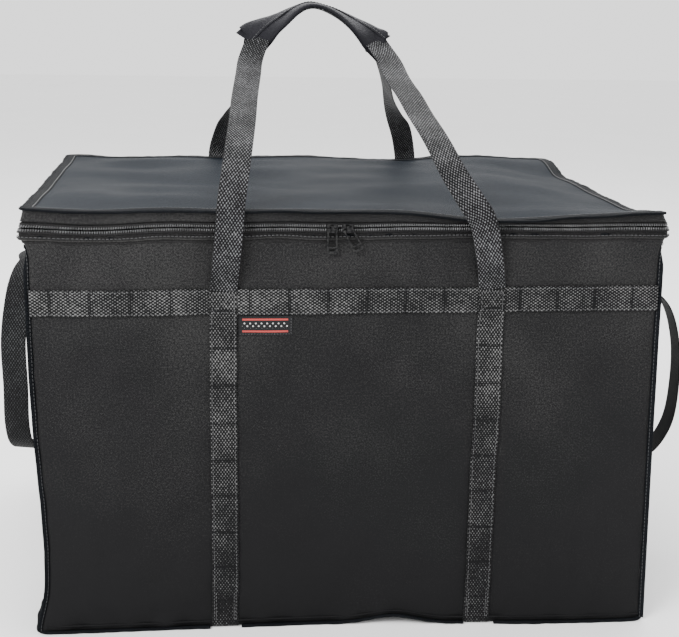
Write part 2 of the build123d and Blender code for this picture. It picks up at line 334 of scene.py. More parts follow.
def sweep(name, middle, a_way, b_way, section, material, closed=False, warp=settle):
    """A closed section carried along a path; section is (steps or 1, points, 2)."""
    section = np.asarray(section, float)
    if section.ndim == 2:
        section = np.broadcast_to(section, (len(middle),) + section.shape)
    points = (
        middle[:, None]
        + a_way[:, None] * section[..., 0][..., None]
        + b_way[:, None] * section[..., 1][..., None]
    )
    steps, around = section.shape[:2]
    uv = np.stack(np.broadcast_arrays(gone_along(section[0])[None, :], gone_along(middle)[:, None]), -1)
    faces = grid_faces(steps, around, wrap_cols=True, wrap_rows=closed)
    if not closed:
        faces.append(tuple(range(around)))
        faces.append(tuple(reversed(range((steps - 1) * around, steps * around))))
    if warp:
        points = warp(points)
    obj = new_object(name, points, faces, uv, material)
    fix_normals(obj)
    return obj


def web_section(width, thick, cols=9):
    """Section of webbing: flat faces and rounded edges."""
    reach = width / 2 - thick * 0.45
    flat = np.linspace(-reach, reach, cols)
    nose = [(reach + thick * 0.35, thick * 0.33), (width / 2, 0), (reach + thick * 0.35, -thick * 0.33)]
    face = [(a, thick / 2) for a in flat] + nose + [(a, -thick / 2) for a in flat[::-1]]
    return np.array(face + [(-a, b) for a, b in nose[::-1]])


def frames(path, out):
    """Directions across and out of a strip that runs along a path."""
    along = unit(np.gradient(path, axis=0))
    across = unit(np.cross(along, out))
    return across, unit(np.cross(across, along))


def capsules(name, starts, ends, out, radius, flat_to, material):
    """Many small rounded bars, such as stitches or zip teeth, in one mesh."""
    starts, ends, out = (np.asarray(v, float) for v in (starts, ends, out))
    along = unit(ends - starts)
    across = unit(np.cross(along, out))
    up = np.cross(across, along)
    ring = [(cos(k * pi / 3), sin(k * pi / 3)) for k in range(6)]
    rows = []
    for share, size in ((0.0, 0.55), (0.18, 1.0), (0.82, 1.0), (1.0, 0.55)):
        base = starts + (ends - starts) * share
        rows += [base + across * (c * radius * size) + up * (s * radius * flat_to * size)
                 for c, s in ring]
    points = np.stack(rows, 1)
    one = grid_faces(4, 6, wrap_cols=True) + [(5, 4, 3, 2, 1, 0), (18, 19, 20, 21, 22, 23)]
    faces = [tuple(i + n * 24 for i in f) for n in range(len(starts)) for f in one]
    return new_object(name, points, faces, np.zeros((points.size // 3, 2)), material)


def stitches(name, runs, pitch=3.6, share=0.66, radius=0.36, warp=settle):
    """A row of stitches along each run, given as (path, outward directions)."""
    starts, ends, outs = [], [], []
    for path, out in runs:
        count = max(int(path_length(path) / pitch), 2)
        both = even(np.hstack([path, np.broadcast_to(out, path.shape)]), count + 1)
        p, o = both[:, :3], unit(both[:, 3:])
        starts.append(p[:-1])
        ends.append(p[:-1] + (p[1:] - p[:-1]) * share)
        outs.append(o[:-1])
    starts, ends, outs = np.vstack(starts), np.vstack(ends), np.vstack(outs)
    if warp:
        starts, ends = warp(starts), warp(ends)
    return capsules(name, starts, ends, outs, radius, 0.8, "thread")


def rim(half_x, half_y, corner=5.0, step=4.0, rear=None):
    """Places and outward directions round the bag, from the left rear by way of the front.

    With rear given, the run stops there on both sides; without it, the run closes on itself.
    """
    def line(start, end, out):
        count = max(int(np.hypot(end[0] - start[0], end[1] - start[1]) / step), 1)
        t = np.linspace(0, 1, count, endpoint=False)[:, None]
        return np.array(start) * (1 - t) + np.array(end) * t, np.tile(out, (count, 1))

    def bend(middle, first):
        angles = np.radians(np.linspace(first, first + 90, 6, endpoint=False))
        out = np.stack([np.cos(angles), np.sin(angles)], -1)
        return np.array(middle) + out * corner, out

    x, y = half_x - corner, half_y - corner
    back = y if rear is None else rear
    runs = [line((-half_x, back), (-half_x, -y), (-1.0, 0.0)), bend((-x, -y), 180)]
    runs += [line((-x, -half_y), (x, -half_y), (0.0, -1.0)), bend((x, -y), 270)]
    runs += [line((half_x, -y), (half_x, back), (1.0, 0.0))]
    if rear is None:
        runs += [bend((x, y), 0), line((x, half_y), (-x, half_y), (0.0, 1.0)), bend((-x, y), 90)]
    else:
        runs += [(np.array([[half_x, back]]), np.array([[1.0, 0.0]]))]
    return np.vstack([r[0] for r in runs]), np.vstack([r[1] for r in runs])


def at_height(flat, z):
    """Points of the plan put at a height."""
    return np.column_stack([flat, np.broadcast_to(z, len(flat))])


def upright(name, half_x, half_y, thick, heights, material, warp, rear=None, wave=None):
    """A wall of cloth round the bag, from its outer size, with an optional ripple outwards."""
    flat, out = rim(half_x, half_y, rear=rear)
    outer = np.stack([at_height(flat, z) for z in heights])
    out3 = np.broadcast_to(at_height(out, 0.0), outer.shape)
    gone = gone_along(flat)
    if wave is not None:
        outer = outer + out3 * wave(gone[None, :], outer[..., 2])[..., None]
    inner = outer - out3 * thick
    uv = np.stack(np.broadcast_arrays(gone[None, :], np.asarray(heights)[:, None]), -1)
    return slab(name, warp(outer), warp(inner), uv, material, wrap=rear is None)


def tray(name, half_x, half_y, z, thick, material, warp, corner=6.0, step=5.0, wave=None):
    """A level sheet with rounded corners, its top face at height z."""
    xs = np.linspace(-half_x, half_x, int(2 * half_x / step))
    ys = np.linspace(-half_y, half_y, int(2 * half_y / step))
    x, y = np.meshgrid(xs, ys)
    dx = np.maximum(np.abs(x) - (half_x - corner), 0)
    dy = np.maximum(np.abs(y) - (half_y - corner), 0)
    pull = np.maximum(dx, dy) / np.maximum(np.hypot(dx, dy), 1e-6)
    pull = np.where((dx > 0) & (dy > 0), pull, 1.0)
    x = np.where(dx > 0, np.sign(x) * (half_x - corner + dx * pull), x)
    y = np.where(dy > 0, np.sign(y) * (half_y - corner + dy * pull), y)
    lift = 0 if wave is None else wave(x, y)
    top = np.stack([x, y, np.full_like(x, z) + lift], -1)
    low = top - np.array([0, 0, thick])
    return slab(name, warp(top), warp(low), np.stack([x, y], -1), material)


def crossed_box(middle, half, low, high):
    """Corners of a box that is sewn round and then across once."""
    left, right = middle - half, middle + half
    return [(left, low), (right, low), (right, high), (left, high), (left, low), (right, high)]


def straight_runs(corners, put, out, count=10):
    """Runs for stitches() from corner to corner; put turns a corner into a place."""
    return [(even(np.array([put(*a), put(*b)]), count), np.array([out]))
            for a, b in zip(corners, corners[1:])]


def place(obj, body, slot, *nodes):
    """Says which body a piece rides on, and the frame's nodes that it stands for, which it hides; slot,
    its finish, is not used.
    """
    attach(obj, body)
    if nodes:
        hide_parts(*nodes)
    return obj


# ---------------- materials


class Finish:
    """A node material, built up from a few calls."""

    def __init__(self, name, **sockets):
        self.material = bpy.data.materials.new(name)
        self.material.use_nodes = True
        self.nodes = self.material.node_tree.nodes
        self.wires = self.material.node_tree.links
        self.shader = self.nodes["Principled BSDF"]
        for socket, value in sockets.items():
            self.shader.inputs[socket.replace("_", " ")].default_value = value
        materials[name] = self.material

    def add(self, kind, inputs=(), output=0, **settings):
        node = self.nodes.new("ShaderNode" + kind)
        for key, value in settings.items():
            setattr(node, key, value)
        for key, value in dict(inputs).items():
            if isinstance(value, bpy.types.NodeSocket):
                self.wires.new(value, node.inputs[key])
            else:
                node.inputs[key].default_value = value
        return node.outputs[output]

    def math(self, operation, *values):
        return self.add("Math", enumerate(values), operation=operation)

    def plus(self, a, b):
        return self.math("ADD", a, b)

    def minus(self, a, b):
        return self.math("SUBTRACT", a, b)

    def times(self, a, b):
        return self.math("MULTIPLY", a, b)

    def scaled(self, value, low, high, to_low=0.0, to_high=1.0):
        return self.add("MapRange", {0: value, 1: low, 2: high, 3: to_low, 4: to_high})

    def noise(self, where, scale, detail=3.0, rough=0.55):
        return self.add(
            "TexNoise", {"Vector": where, "Scale": scale, "Detail": detail, "Roughness": rough}
        )

    def mix(self, amount, a, b):
        return self.add("Mix", {0: amount, 6: a, 7: b}, output=2, data_type="RGBA")

    def here(self):
        return self.add("TexCoord", output=3)

    def parts(self, vector):
        node = self.nodes.new("ShaderNodeSeparateXYZ")
        self.wires.new(vector, node.inputs[0])
        return node.outputs

    def painted_shade_to_floor(self, most):
        """Painted shade: grows from nothing at the top of the bag to most at the floor."""
        return self.scaled(self.parts(self.here())[2], 0.33, 0.02, 0.0, most)

    def cut(self):
        """Metres along and across the cloth, from its UV map."""
        return self.add("UVMap", uv_map="UVMap")

    def waves(self, across, along):
        """Two crossed sine waves over the cloth, with their pitches in millimetres."""
        cut = self.parts(self.cut())
        return [self.math("SINE", self.times(cut[k], 2 * pi / (pitch * MM)))
                for k, pitch in enumerate((across, along))]

    def colour(self, socket):
        self.wires.new(socket, self.shader.inputs["Base Color"])

    def shaded(self, noise, dark, light, low=0.3, high=0.7):
        """Base colour from dark to light, as the noise goes from low to high."""
        self.colour(self.mix(self.scaled(noise, low, high), rgb(*dark), rgb(*light)))

    def rough(self, socket):
        self.wires.new(socket, self.shader.inputs["Roughness"])

    def bump(self, height, depth, strength=1.0, below=None):
        inputs = {"Strength": strength, "Distance": depth * MM, "Height": height}
        if below is not None:
            inputs["Normal"] = below
        normal = self.add("Bump", inputs)
        self.wires.new(normal, self.shader.inputs["Normal"])
        return normal


def rgb(*values):
    return (*values, 1.0)


def woven(name, dark, light, pitch, roughness, sheen, tint, depth=0.12, cloud=9.0, crease=0.0,
          painted_floor_shade=0.0, gloss=0.16, patchy=0.07):
    """Plain weave with flecks where threads catch the light, slow changes of shade, and, if asked,
    painted shade that darkens it towards the floor.
    """
    f = Finish(name, Sheen_Weight=sheen, Sheen_Roughness=0.45, Sheen_Tint=tint, Specular_Tint=tint,
               Specular_IOR_Level=gloss)
    over = f.times(*f.waves(pitch, pitch))
    fleck = f.noise(f.cut(), 620.0, 2.0, 0.7)
    cloudy = f.noise(f.here(), cloud, 4.0, 0.6)
    amount = f.plus(f.times(over, 0.18), fleck)
    amount = f.plus(amount, f.scaled(cloudy, 0.35, 0.65, -patchy, patchy))
    # painted shade: the cloth darkens towards the floor
    if painted_floor_shade:
        amount = f.minus(amount, f.painted_shade_to_floor(painted_floor_shade))
    f.colour(f.mix(f.scaled(amount, 0.42, 0.78), dark, light))
    f.rough(f.scaled(cloudy, 0.3, 0.7, roughness - 0.06, roughness + 0.06))
    normal = f.bump(over, depth)
    if crease:
        slow = f.noise(f.here(), 34.0, 3.0, 0.5)
        f.bump(slow, crease, 1.0, below=normal)
    return f


def make_materials():
    # the shell cloth carries painted shade, darker towards the floor
    woven("shell_cloth", rgb(0.0022, 0.0022, 0.0022), rgb(0.0330, 0.0325, 0.0315), 1.5, 0.62, 0.03,
          rgb(0.8, 0.8, 0.85), crease=1.3, painted_floor_shade=0.26)
    # the blue cast of the lid cloth's base colour is painted reflection of the bright surroundings
    woven("lid_cloth", rgb(0.0070, 0.0092, 0.0125), rgb(0.0150, 0.0185, 0.0240), 1.5, 0.46, 0.0,
          rgb(0.55, 0.75, 1.0), cloud=5.0, crease=0.8, gloss=0.02)
    woven("grip_cloth", rgb(0.0025, 0.0025, 0.0033), rgb(0.012, 0.0118, 0.0145), 1.4, 0.5, 0.05,
          rgb(0.85, 0.85, 0.95), crease=0.8)
    woven("binding_tape", rgb(0.0020, 0.0022, 0.0026), rgb(0.0120, 0.0130, 0.0150), 1.1, 0.6, 0.0,
          rgb(0.75, 0.85, 1.0), gloss=0.04)
    # the hem piping is paler than the shell cloth: painted highlight along the hem's edge
    woven("hem_piping", rgb(0.010, 0.010, 0.010), rgb(0.052, 0.050, 0.048), 1.1, 0.5, 0.04,
          rgb(0.9, 0.9, 0.9))
    woven("zip_tape", rgb(0.0040, 0.0039, 0.0042), rgb(0.0240, 0.0230, 0.0235), 0.9, 0.7, 0.03,
          rgb(0.9, 0.9, 0.9))
    webbing_finish("webbing", (0.175, 0.176, 0.182))
    webbing_finish("webbing_sewn", (0.185, 0.184, 0.182), tacked=True)
    # a darker copy of the webbing for the side loops: painted shade
    webbing_finish("webbing_in_painted_shade", (0.060, 0.062, 0.064))
    foam_finish()
    foil_finish()
    label_finish()
    plain_finishes()


def webbing_finish(name, light, tacked=False):
    """Coarse webbing: rows of thread humps with painted highlights on their tops and painted shade in
    the dark gaps between, and painted shade that darkens it towards the floor.
    """
    f = Finish(name, Sheen_Weight=0.02, Sheen_Roughness=0.5, Roughness=0.62, Specular_IOR_Level=0.10)
    humps = f.times(*f.waves(2.9, 4.2))
    grain = f.noise(f.cut(), 330.0, 3.0, 0.75)
    worn = f.noise(f.here(), 30.0, 3.0, 0.6)
    # painted highlight on the humps' tops and painted shade in the gaps between them
    amount = f.plus(f.times(humps, 0.42), f.times(grain, 1.1))
    amount = f.plus(amount, f.scaled(worn, 0.3, 0.7, -0.12, 0.12))
    # painted shade: darker towards the floor
    amount = f.minus(amount, f.painted_shade_to_floor(0.20))
    if tacked:
        along = f.parts(f.cut())[1]
        tack = f.math("ABSOLUTE", f.math("SINE", f.times(along, pi / (TACK * MM))))
        amount = f.minus(amount, f.times(f.math("POWER", tack, 110.0), 0.22))
    f.colour(f.mix(f.scaled(amount, 0.58, 1.08), rgb(0.0022, 0.0023, 0.0027), rgb(*light)))
    f.bump(humps, 0.4)


def foam_finish():
    """Pale closed-cell foam."""
    f = Finish("foam", Roughness=0.85, Subsurface_Weight=0.05)
    cells = f.add("TexVoronoi", {"Vector": f.here(), "Scale": 900.0})
    f.shaded(f.noise(f.here(), 20.0), (0.80, 0.79, 0.76), (0.88, 0.88, 0.86))
    f.bump(cells, 0.3, 0.6)


def foil_finish():
    """Crinkled silver foil, with faint greyer patches."""
    f = Finish("foil", Metallic=0.92)
    crinkle = f.add("TexVoronoi", {"Vector": f.here(), "Scale": 55.0}, feature="DISTANCE_TO_EDGE")
    fine = f.noise(f.here(), 150.0, 4.0, 0.6)
    f.shaded(f.noise(f.here(), 12.0), (0.66, 0.67, 0.69), (0.86, 0.87, 0.88))
    f.rough(f.scaled(fine, 0.3, 0.7, 0.22, 0.42))
    normal = f.bump(f.math("MINIMUM", crinkle, 0.12), 6.0, 0.6)
    f.bump(fine, 1.0, 0.5, below=normal)


def label_finish():
    """A small woven label: a plain dark field between two thin red lines."""
    f = Finish("label", Roughness=0.6, Sheen_Weight=0.02, Specular_IOR_Level=0.12)
    cut = f.parts(f.cut())
    beside, middle = (f.math("ABSOLUTE", f.minus(cut[k], at * MM)) for k, at in ((0, 25.5), (1, 9.75)))
    line = f.math("COMPARE", middle, 5.6 * MM, 0.9 * MM)
    inside = f.math("LESS_THAN", beside, 21 * MM)
    small = f.math("GREATER_THAN", f.times(*f.waves(5.2, 5.2)), 0.62)
    centre = f.times(small, f.math("LESS_THAN", middle, 2.6 * MM))
    threads = f.noise(f.cut(), 900.0, 2.0)
    field = f.mix(f.scaled(threads, 0.3, 0.7), rgb(0.004, 0.004, 0.0045), rgb(0.012, 0.012, 0.013))
    lined = f.mix(f.times(line, inside), field, rgb(0.30, 0.045, 0.040))
    f.colour(f.mix(f.times(centre, inside), lined, rgb(0.42, 0.41, 0.40)))
    f.bump(threads, 0.2, 0.7)


def plain_finishes():
    """Thread, the zip's coil and metal, and the floor."""
    f = Finish("thread", Roughness=0.5, Sheen_Weight=0.3)
    f.shaded(f.noise(f.here(), 240.0), (0.006, 0.006, 0.007), (0.030, 0.030, 0.032))
    f.bump(f.noise(f.here(), 2500.0), 0.1, 0.6)

    f = Finish("zip_coil", Roughness=0.26)
    f.shaded(f.noise(f.here(), 90.0), (0.022, 0.022, 0.023), (0.100, 0.100, 0.102))
    f.bump(f.noise(f.here(), 1800.0), 0.05, 0.5)

    f = Finish("zip_metal", Metallic=1.0)
    worn = f.noise(f.here(), 420.0, 4.0, 0.6)
    f.shaded(worn, (0.012, 0.012, 0.013), (0.045, 0.045, 0.044), low=0.4)
    f.rough(f.scaled(worn, 0.3, 0.7, 0.12, 0.24))
    f.bump(worn, 0.06, 0.6)

    f = Finish("floor", Roughness=0.9)
    f.shaded(f.noise(f.here(), 3.0), (0.92, 0.92, 0.92), (0.94, 0.94, 0.94))


# ---------------- walls and bottom


def body_walls():
    """The outer cloth of the four walls, one tube of cloth that bulges and wrinkles."""
    heights = np.r_[np.linspace(1.5, 30, 9), np.linspace(36, 370, 62), np.linspace(374, WALL_TOP, 5)]

    def pucker(gone, z):
        near_hem = hump(z, HEM_LOW - 8, 12)
        near_floor = hump(z, 6, 9)
        return 0.7 * ripple(gone, z * 0.4, 41, 26) * (near_hem + near_floor) + 0.25 * ripple(
            gone, z, 43, 34)

    walls = upright("outer_walls", HALF_W, HALF_D, SHELL, heights, "shell_cloth", settle, wave=pucker)
    place(walls, "bag", "shell_cloth", "panel_front", "panel_rear", "panel_left", "panel_right")


def bottom_sag(x, y):
    """The bottom cloth hangs to the floor, and is held up a little over the straps' edges."""
    held = sum(smooth(-np.abs(x - at), -WEB_WIDTH / 2 - 16, -WEB_WIDTH / 2) for at in STRAPS.values())
    edge = smooth(np.abs(y), HALF_D - 34, HALF_D - 8) + smooth(np.abs(x), HALF_W - 34, HALF_W - 8)
    return (WEB - 0.15) * (np.clip(held + edge, 0, 1) - 1)


def bottom_cloth():
    cloth = tray("outer_bottom", HALF_W - SHELL, HALF_D - SHELL, FLOOR_TOP, SHELL - 0.1,
                 "shell_cloth", settle, wave=bottom_sag)
    place(cloth, "bag", "shell_cloth", "panel_bottom")


def padding():
    """Foam boards in the walls and the bottom, between the outer cloth and the foil."""
    low = FLOOR_TOP + 0.1
    rise = np.linspace(low, WALL_TOP - 0.6, 60)
    t = np.linspace(-1, 1, 90)
    gap = SHELL + 1.7
    thick = FOAM - 2.3
    ends = (HALF_W - gap - 3.5, HALF_D), (HALF_D - gap - thick - 0.4, HALF_W)
    for name, turn in (("front", 0), ("right", 1), ("rear", 2), ("left", 3)):
        half, reach = ends[turn % 2]
        along, z = np.meshgrid(t * half, rise)
        soft = 0.25 * ripple(along, z, 51 + turn, 70)
        faces = []
        for depth in (np.full_like(along, reach - gap), reach - gap - thick + soft):
            side = (along, -depth)
            for _ in range(turn):
                side = (-side[1], side[0])
            faces.append(settle(np.stack([*side, z], -1)))
        board = slab(f"foam_board_{name}", faces[0], faces[1], np.stack([along, z], -1), "foam")
        place(board, "bag", "foam", f"foam_{name}")
    inset = gap + thick + 0.5
    floor = tray("foam_board_bottom", HALF_W - inset, HALF_D - inset, FLOOR_TOP + FOAM - 0.5,
                 thick, "foam", settle)
    place(floor, "bag", "foam", "foam_bottom")


def lining():
    """Foil lining of the walls and the floor, creased where it was folded."""
    inset = SHELL + FOAM
    low = FLOOR_TOP + FOAM + 0.2
    heights = np.linspace(low, WALL_TOP - 0.4, 70)

    def creases(gone, z):
        crumple = 0.28 * ripple(gone, z, 61, 30, count=14) + 0.2 * ripple(gone, z, 62, 15, count=14)
        return -0.5 + crumple * smooth(z, low, low + 12)

    walls = upright("foil_walls", HALF_W - inset, HALF_D - inset, THIN_FOIL, heights, "foil", settle,
                    wave=creases)
    place(walls, "bag", "foil", "liner_front", "liner_rear", "liner_left", "liner_right")

    def floor_creases(x, y):
        return 0.5 + 0.3 * ripple(x, y, 63, 34, count=14) + 0.2 * ripple(x, y, 64, 15, count=14)

    floor = tray("foil_floor", HALF_W - inset - 1, HALF_D - inset - 1, low + 0.4, THIN_FOIL, "foil",
                 settle, wave=floor_creases)
    place(floor, "bag", "foil", "liner_bottom")


# ---------------- seams


def squarish(turn, a_power, b_power):
    """Cosine and sine, drawn out towards the corners of a square."""
    waves = (np.cos(turn), a_power), (np.sin(turn), b_power)
    return [np.sign(wave) * np.abs(wave) ** power for wave, power in waves]


def plump(wide, high, points=14):
    """A rounded section, wide outwards and high upwards, from the inner edge at 0."""
    turn = np.linspace(0, 2 * pi, points, endpoint=False)
    a, b = squarish(turn, 0.8, 0.8)
    return np.stack([wide / 2 * (1 + a), high / 2 * b], -1)


def round_bag(half_x, half_y, z, **how):
    """A run round the bag at one height: places, and the directions outwards and up."""
    flat, out = rim(half_x, half_y, **how)
    return at_height(flat, z), at_height(out, 0.0), np.tile(UP, (len(flat), 1))


def hem():
    """The walls' top hem, rolled over the lower zip tape and puckered by its stitching."""
    low = HEM_LOW + 4
    path, away, up = round_bag(HALF_W + 0.5, HALF_D + 0.5, (low + HEM_HIGH) / 2, corner=6, step=2.2,
                               rear=HALF_D)
    gone = gone_along(path)
    pinch = 1 + 0.16 * waver(gone, 71, 11) + 0.08 * waver(gone, 72, 40)
    path = path + up * (0.35 * waver(gone, 73, 60))[:, None]
    section = plump(2.3, HEM_HIGH - low)[None] * pinch[:, None, None]
    roll = sweep("hem_roll", path, away, up, section, "shell_cloth")
    place(roll, "bag", "binding_tape", "hem_binding")
    row = stitches("hem_stitches", [(path + up * 1.2 + away * 2.2, away)])
    place(row, "bag", "binding_tape")
    path = path - up * ((HEM_HIGH - low) / 2 + 0.4)
    # the cord along the hem's lower edge is paler than the cloth, a painted highlight
    edge = sweep("hem_piping", path, away, up, plump(1.9, 1.3) * pinch[:, None, None], "hem_piping")
    place(edge, "bag", "binding_tape")


def rim_binding():
    """Tape that closes the layers of the walls at the top."""
    inset = SHELL + FOAM + 2
    path, away, up = round_bag(HALF_W - inset, HALF_D - inset, WALL_TOP - 0.6, corner=4, step=3)
    gone = gone_along(path)
    wave = 1 + 0.08 * waver(gone, 75, 20)
    section = plump(inset - 0.1, 4.4)[None] * wave[:, None, None]
    tape = sweep("rim_binding", path, away, up, section, "binding_tape", closed=True)
    place(tape, "bag", "binding_tape")
    rows = [(path + away * inset * 0.25 + up * 2.1, up)]
    place(stitches("rim_stitches", rows), "bag", "binding_tape")


def corner_seams():
    """A bound seam that stands out at each upright corner."""
    z = np.linspace(3, HEM_LOW - 1, 110)
    for k, (sx, sy) in enumerate([(-1, -1), (1, -1), (-1, 1), (1, 1)]):
        path = at_height(np.tile([sx * (HALF_W - 1.6), sy * (HALF_D - 1.6)], (len(z), 1)), z)
        away = np.tile(unit(np.array([sx * 1.0, sy * 0.5, 0])), (len(z), 1))
        side = np.cross(away, [0, 0, 1.0])
        wobble = 0.35 * waver(z, 81 + k, 46) + 0.15 * waver(z, 85 + k, 14)
        path = path + side * wobble[:, None]
        taper = 1 - 0.75 * smooth(z, HEM_LOW - 26, HEM_LOW - 3)
        section = plump(SEAM_X - HALF_W + 1.6, 1.9)[None] * taper[:, None, None]
        name = f"corner_seam_{'left' if sx < 0 else 'right'}_{'front' if sy < 0 else 'rear'}"
        seam = sweep(name, path, away, side, section, "binding_tape")
        place(seam, "bag", "binding_tape", *(["corner_bindings"] if k == 0 else []))
        face = side * (1 if side[0, 1] * sy > 0 else -1)
        line = stitches(name + "_stitches", [(path + away * 2.0 + face * 0.85, face)], radius=0.3)
        place(line, "bag", "binding_tape")


def bottom_seam():
    """The bound seam round the bottom, broken where the straps pass under it."""
    path, away, up = round_bag(HALF_W, HALF_D, 1.6, corner=9, step=3.0)
    ends = [
        k for k, (x, y, _) in enumerate(path)
        if abs(y) > HALF_D - 1 and any(abs(x - at) < WEB_WIDTH / 2 + 0.8 for at in STRAPS.values())
    ]
    runs = [r for r in np.split(np.arange(len(path)), ends) if len(r) > 3]
    section = plump(FOOT_X - HALF_W, 2.9)
    for n, run in enumerate(runs):
        keep = run[1:] if run[0] in ends else run
        wave = 1 + 0.10 * ripple(path[keep, 0], path[keep, 1], 91, 18)
        seam = sweep(f"bottom_seam_{n}", path[keep], away[keep], up[keep],
                     section[None] * wave[:, None, None], "binding_tape")
        place(seam, "bag", "binding_tape", *(["bottom_binding"] if n == 0 else []))
    path, away, up = round_bag(HALF_W, HALF_D, 7.0, corner=7, step=3.0)
    cord = sweep("bottom_piping", path, away, up, plump(1.5, 1.7) - [0.3, 0], "shell_cloth",
                 closed=True)
    place(cord, "bag", "binding_tape")


# ---------------- webbing sewn to the bag


def bands():
    """Webbing across the front and the rear, with a row of stitches along each edge."""
    x = np.linspace(-HALF_W + 0.5, HALF_W - 0.5, 240)
    z = (BAND_LOW + BAND_HIGH) / 2
    for side, sign in (("front", -1), ("rear", 1)):
        pinch = 0.25 * waver(x, 101 + sign, 40)
        pinch = pinch + 0.5 * (1 - np.abs(np.sin((x - x[0]) * pi / TACK)) ** 6)
        path = np.column_stack([x, np.full_like(x, sign * (HALF_D + WEB / 2 + 0.3)), z + 0 * x])
        path[:, 1] += sign * pinch
        out = np.tile([0.0, sign, 0.0], (len(x), 1))
        up = np.tile(UP, (len(x), 1))
        band = sweep(f"band_{side}_webbing", path, up, out, web_section(BAND_HIGH - BAND_LOW, WEB),
                     "webbing_sewn")
        place(band, "bag", "webbing", f"band_{side}")
        rows = [(path + up * h + out * WEB / 2, out) for h in (-10.2, 10.2)]
        place(stitches(f"band_{side}_stitches", rows), "bag", "webbing")


def strap_route(side):
    """Down the front from the band, under the bottom and up the rear: places and directions."""
    top, lying = BAND_HIGH - 2, WEB / 2 + 0.05
    over, under = HALF_D + 1.5 * WEB + 0.35, HALF_D + WEB / 2 + 0.1
    profile = [(-over, top), (-over, BAND_LOW + 4), (-over - 0.1, BAND_LOW)]
    profile += [(-under - 0.3, BAND_LOW - 6)]
    profile += [(-under, z) for z in np.linspace(BAND_LOW - 24, 20, 12)]
    profile += [(-under, 5.0), (-under + 1.5, 1.6), (-under + 6, lying)]
    profile += [(y, lying) for y in np.linspace(-HALF_D + 30, 0, 5)]
    profile += [(-y, z) for y, z in profile[-2::-1]]
    path = curve([(0, y, z) for y, z in profile], 460)
    path[:, 2] = np.maximum(path[:, 2], lying)
    foot, head = STRAP_X[side]
    path[:, 0] = foot + (head - foot) * path[:, 2] / BAND_HIGH
    along = unit(np.gradient(path, axis=0))
    out = unit(np.cross(along, [1.0, 0, 0]))
    out *= np.sign(np.sum(out * (path * [0, 1, 1] - [0, 0, 170]), axis=1))[:, None]
    return path, out


def sewn_straps():
    """The carry straps' sewn runs, pulled in a little by their stitching."""
    for k, side in enumerate(("left", "right")):
        path, out = strap_route(side)
        gone = gone_along(path)
        upright_part = smooth(path[:, 2], 14, 40) * smooth(-path[:, 2], -BAND_LOW, -BAND_LOW + 12)
        puff = 0.7 * (1 - np.abs(np.sin(gone * pi / TACK)) ** 6) * upright_part
        path = path + out * puff[:, None]
        path[:, 0] += 0.35 * waver(gone, 113 + k, 75) * upright_part
        across, out = frames(path, out)
        strap = sweep(f"strap_{side}", path, across, out, web_section(WEB_WIDTH, WEB),
                      "webbing_sewn")
        place(strap, "bag", "webbing", f"strap_front_{side}", f"strap_under_{side}",
              f"strap_rear_{side}")
        sewn = (path[:, 2] > 7) & (path[:, 2] < BAND_LOW + 1)
        rows = []
        for half in (path[:, 1] < 0, path[:, 1] > 0):
            for pick, reach in ((sewn & half, 10.4), (sewn & half & (path[:, 2] < 40), 8.6)):
                rows += [(path[pick] + across[pick] * a + out[pick] * WEB / 2, out[pick])
                         for a in (-reach, reach)]
        for sign in (-1, 1):
            x = path[0 if sign < 0 else -1, 0]
            y = sign * (HALF_D + 2 * WEB + 0.4)
            box = crossed_box(x, SEWN_HALF, BAND_LOW + 3, BAND_HIGH - 4)
            rows += straight_runs(box, lambda a, z: (a, y, z), (0.0, sign, 0.0))
        place(stitches(f"strap_{side}_stitches", rows), "bag", "webbing")


def label():
    """The small woven label beside the left strap, with stitches along its lower and right edges."""
    low, high = limits("label")
    x = np.linspace(low[0] + 0.3, high[0], 40)
    z = np.linspace(low[2], high[2] - 0.3, 16)
    gx, gz = np.meshgrid(x, z)
    lift = 0.7 + 0.35 * ripple(gx, gz, 121, 40) * smooth(-gz, -high[2], -low[2])
    outer = np.stack([gx, -HALF_D - lift, gz], -1)
    inner = outer + [0, 0.55, 0]
    uv = np.stack([gx - low[0], gz - low[2]], -1)
    tag = slab("label_cloth", settle(outer), settle(inner), uv, "label")
    place(tag, "bag", "label", "label")
    inset = 1.8
    edge = [(low[0] + inset, low[2] + inset), (high[0] - inset, low[2] + inset),
            (high[0] - inset, high[2] - inset)]
    rows = straight_runs(edge, lambda a, z: (a, -HALF_D - 1.1, z), (0.0, -1.0, 0.0), count=12)
    place(stitches("label_stitches", rows, pitch=2.6, radius=0.25), "bag", "label")


# ---------------- zip


def teeth(name, foot, tip, shift, warp):
    """A row of coil turns along the zip, from their foot to their tip, both as heights."""
    pitch = 2.1
    flat, out = rim(HALF_W + 0.4, HALF_D + 0.4, corner=5, step=1.0, rear=ZIP_REAR)
    count = int(path_length(flat) / pitch)
    both = even(np.hstack([flat, out]), count)
    flat, out = both[:, :2], unit(both[:, 2:])
    starts = warp(at_height(flat, foot))
    lean = np.gradient(flat, axis=0) * shift
    ends = warp(at_height(flat + lean, tip))
    return capsules(name, starts, ends, at_height(out, 0.0), 0.72, 1.7, "zip_coil")


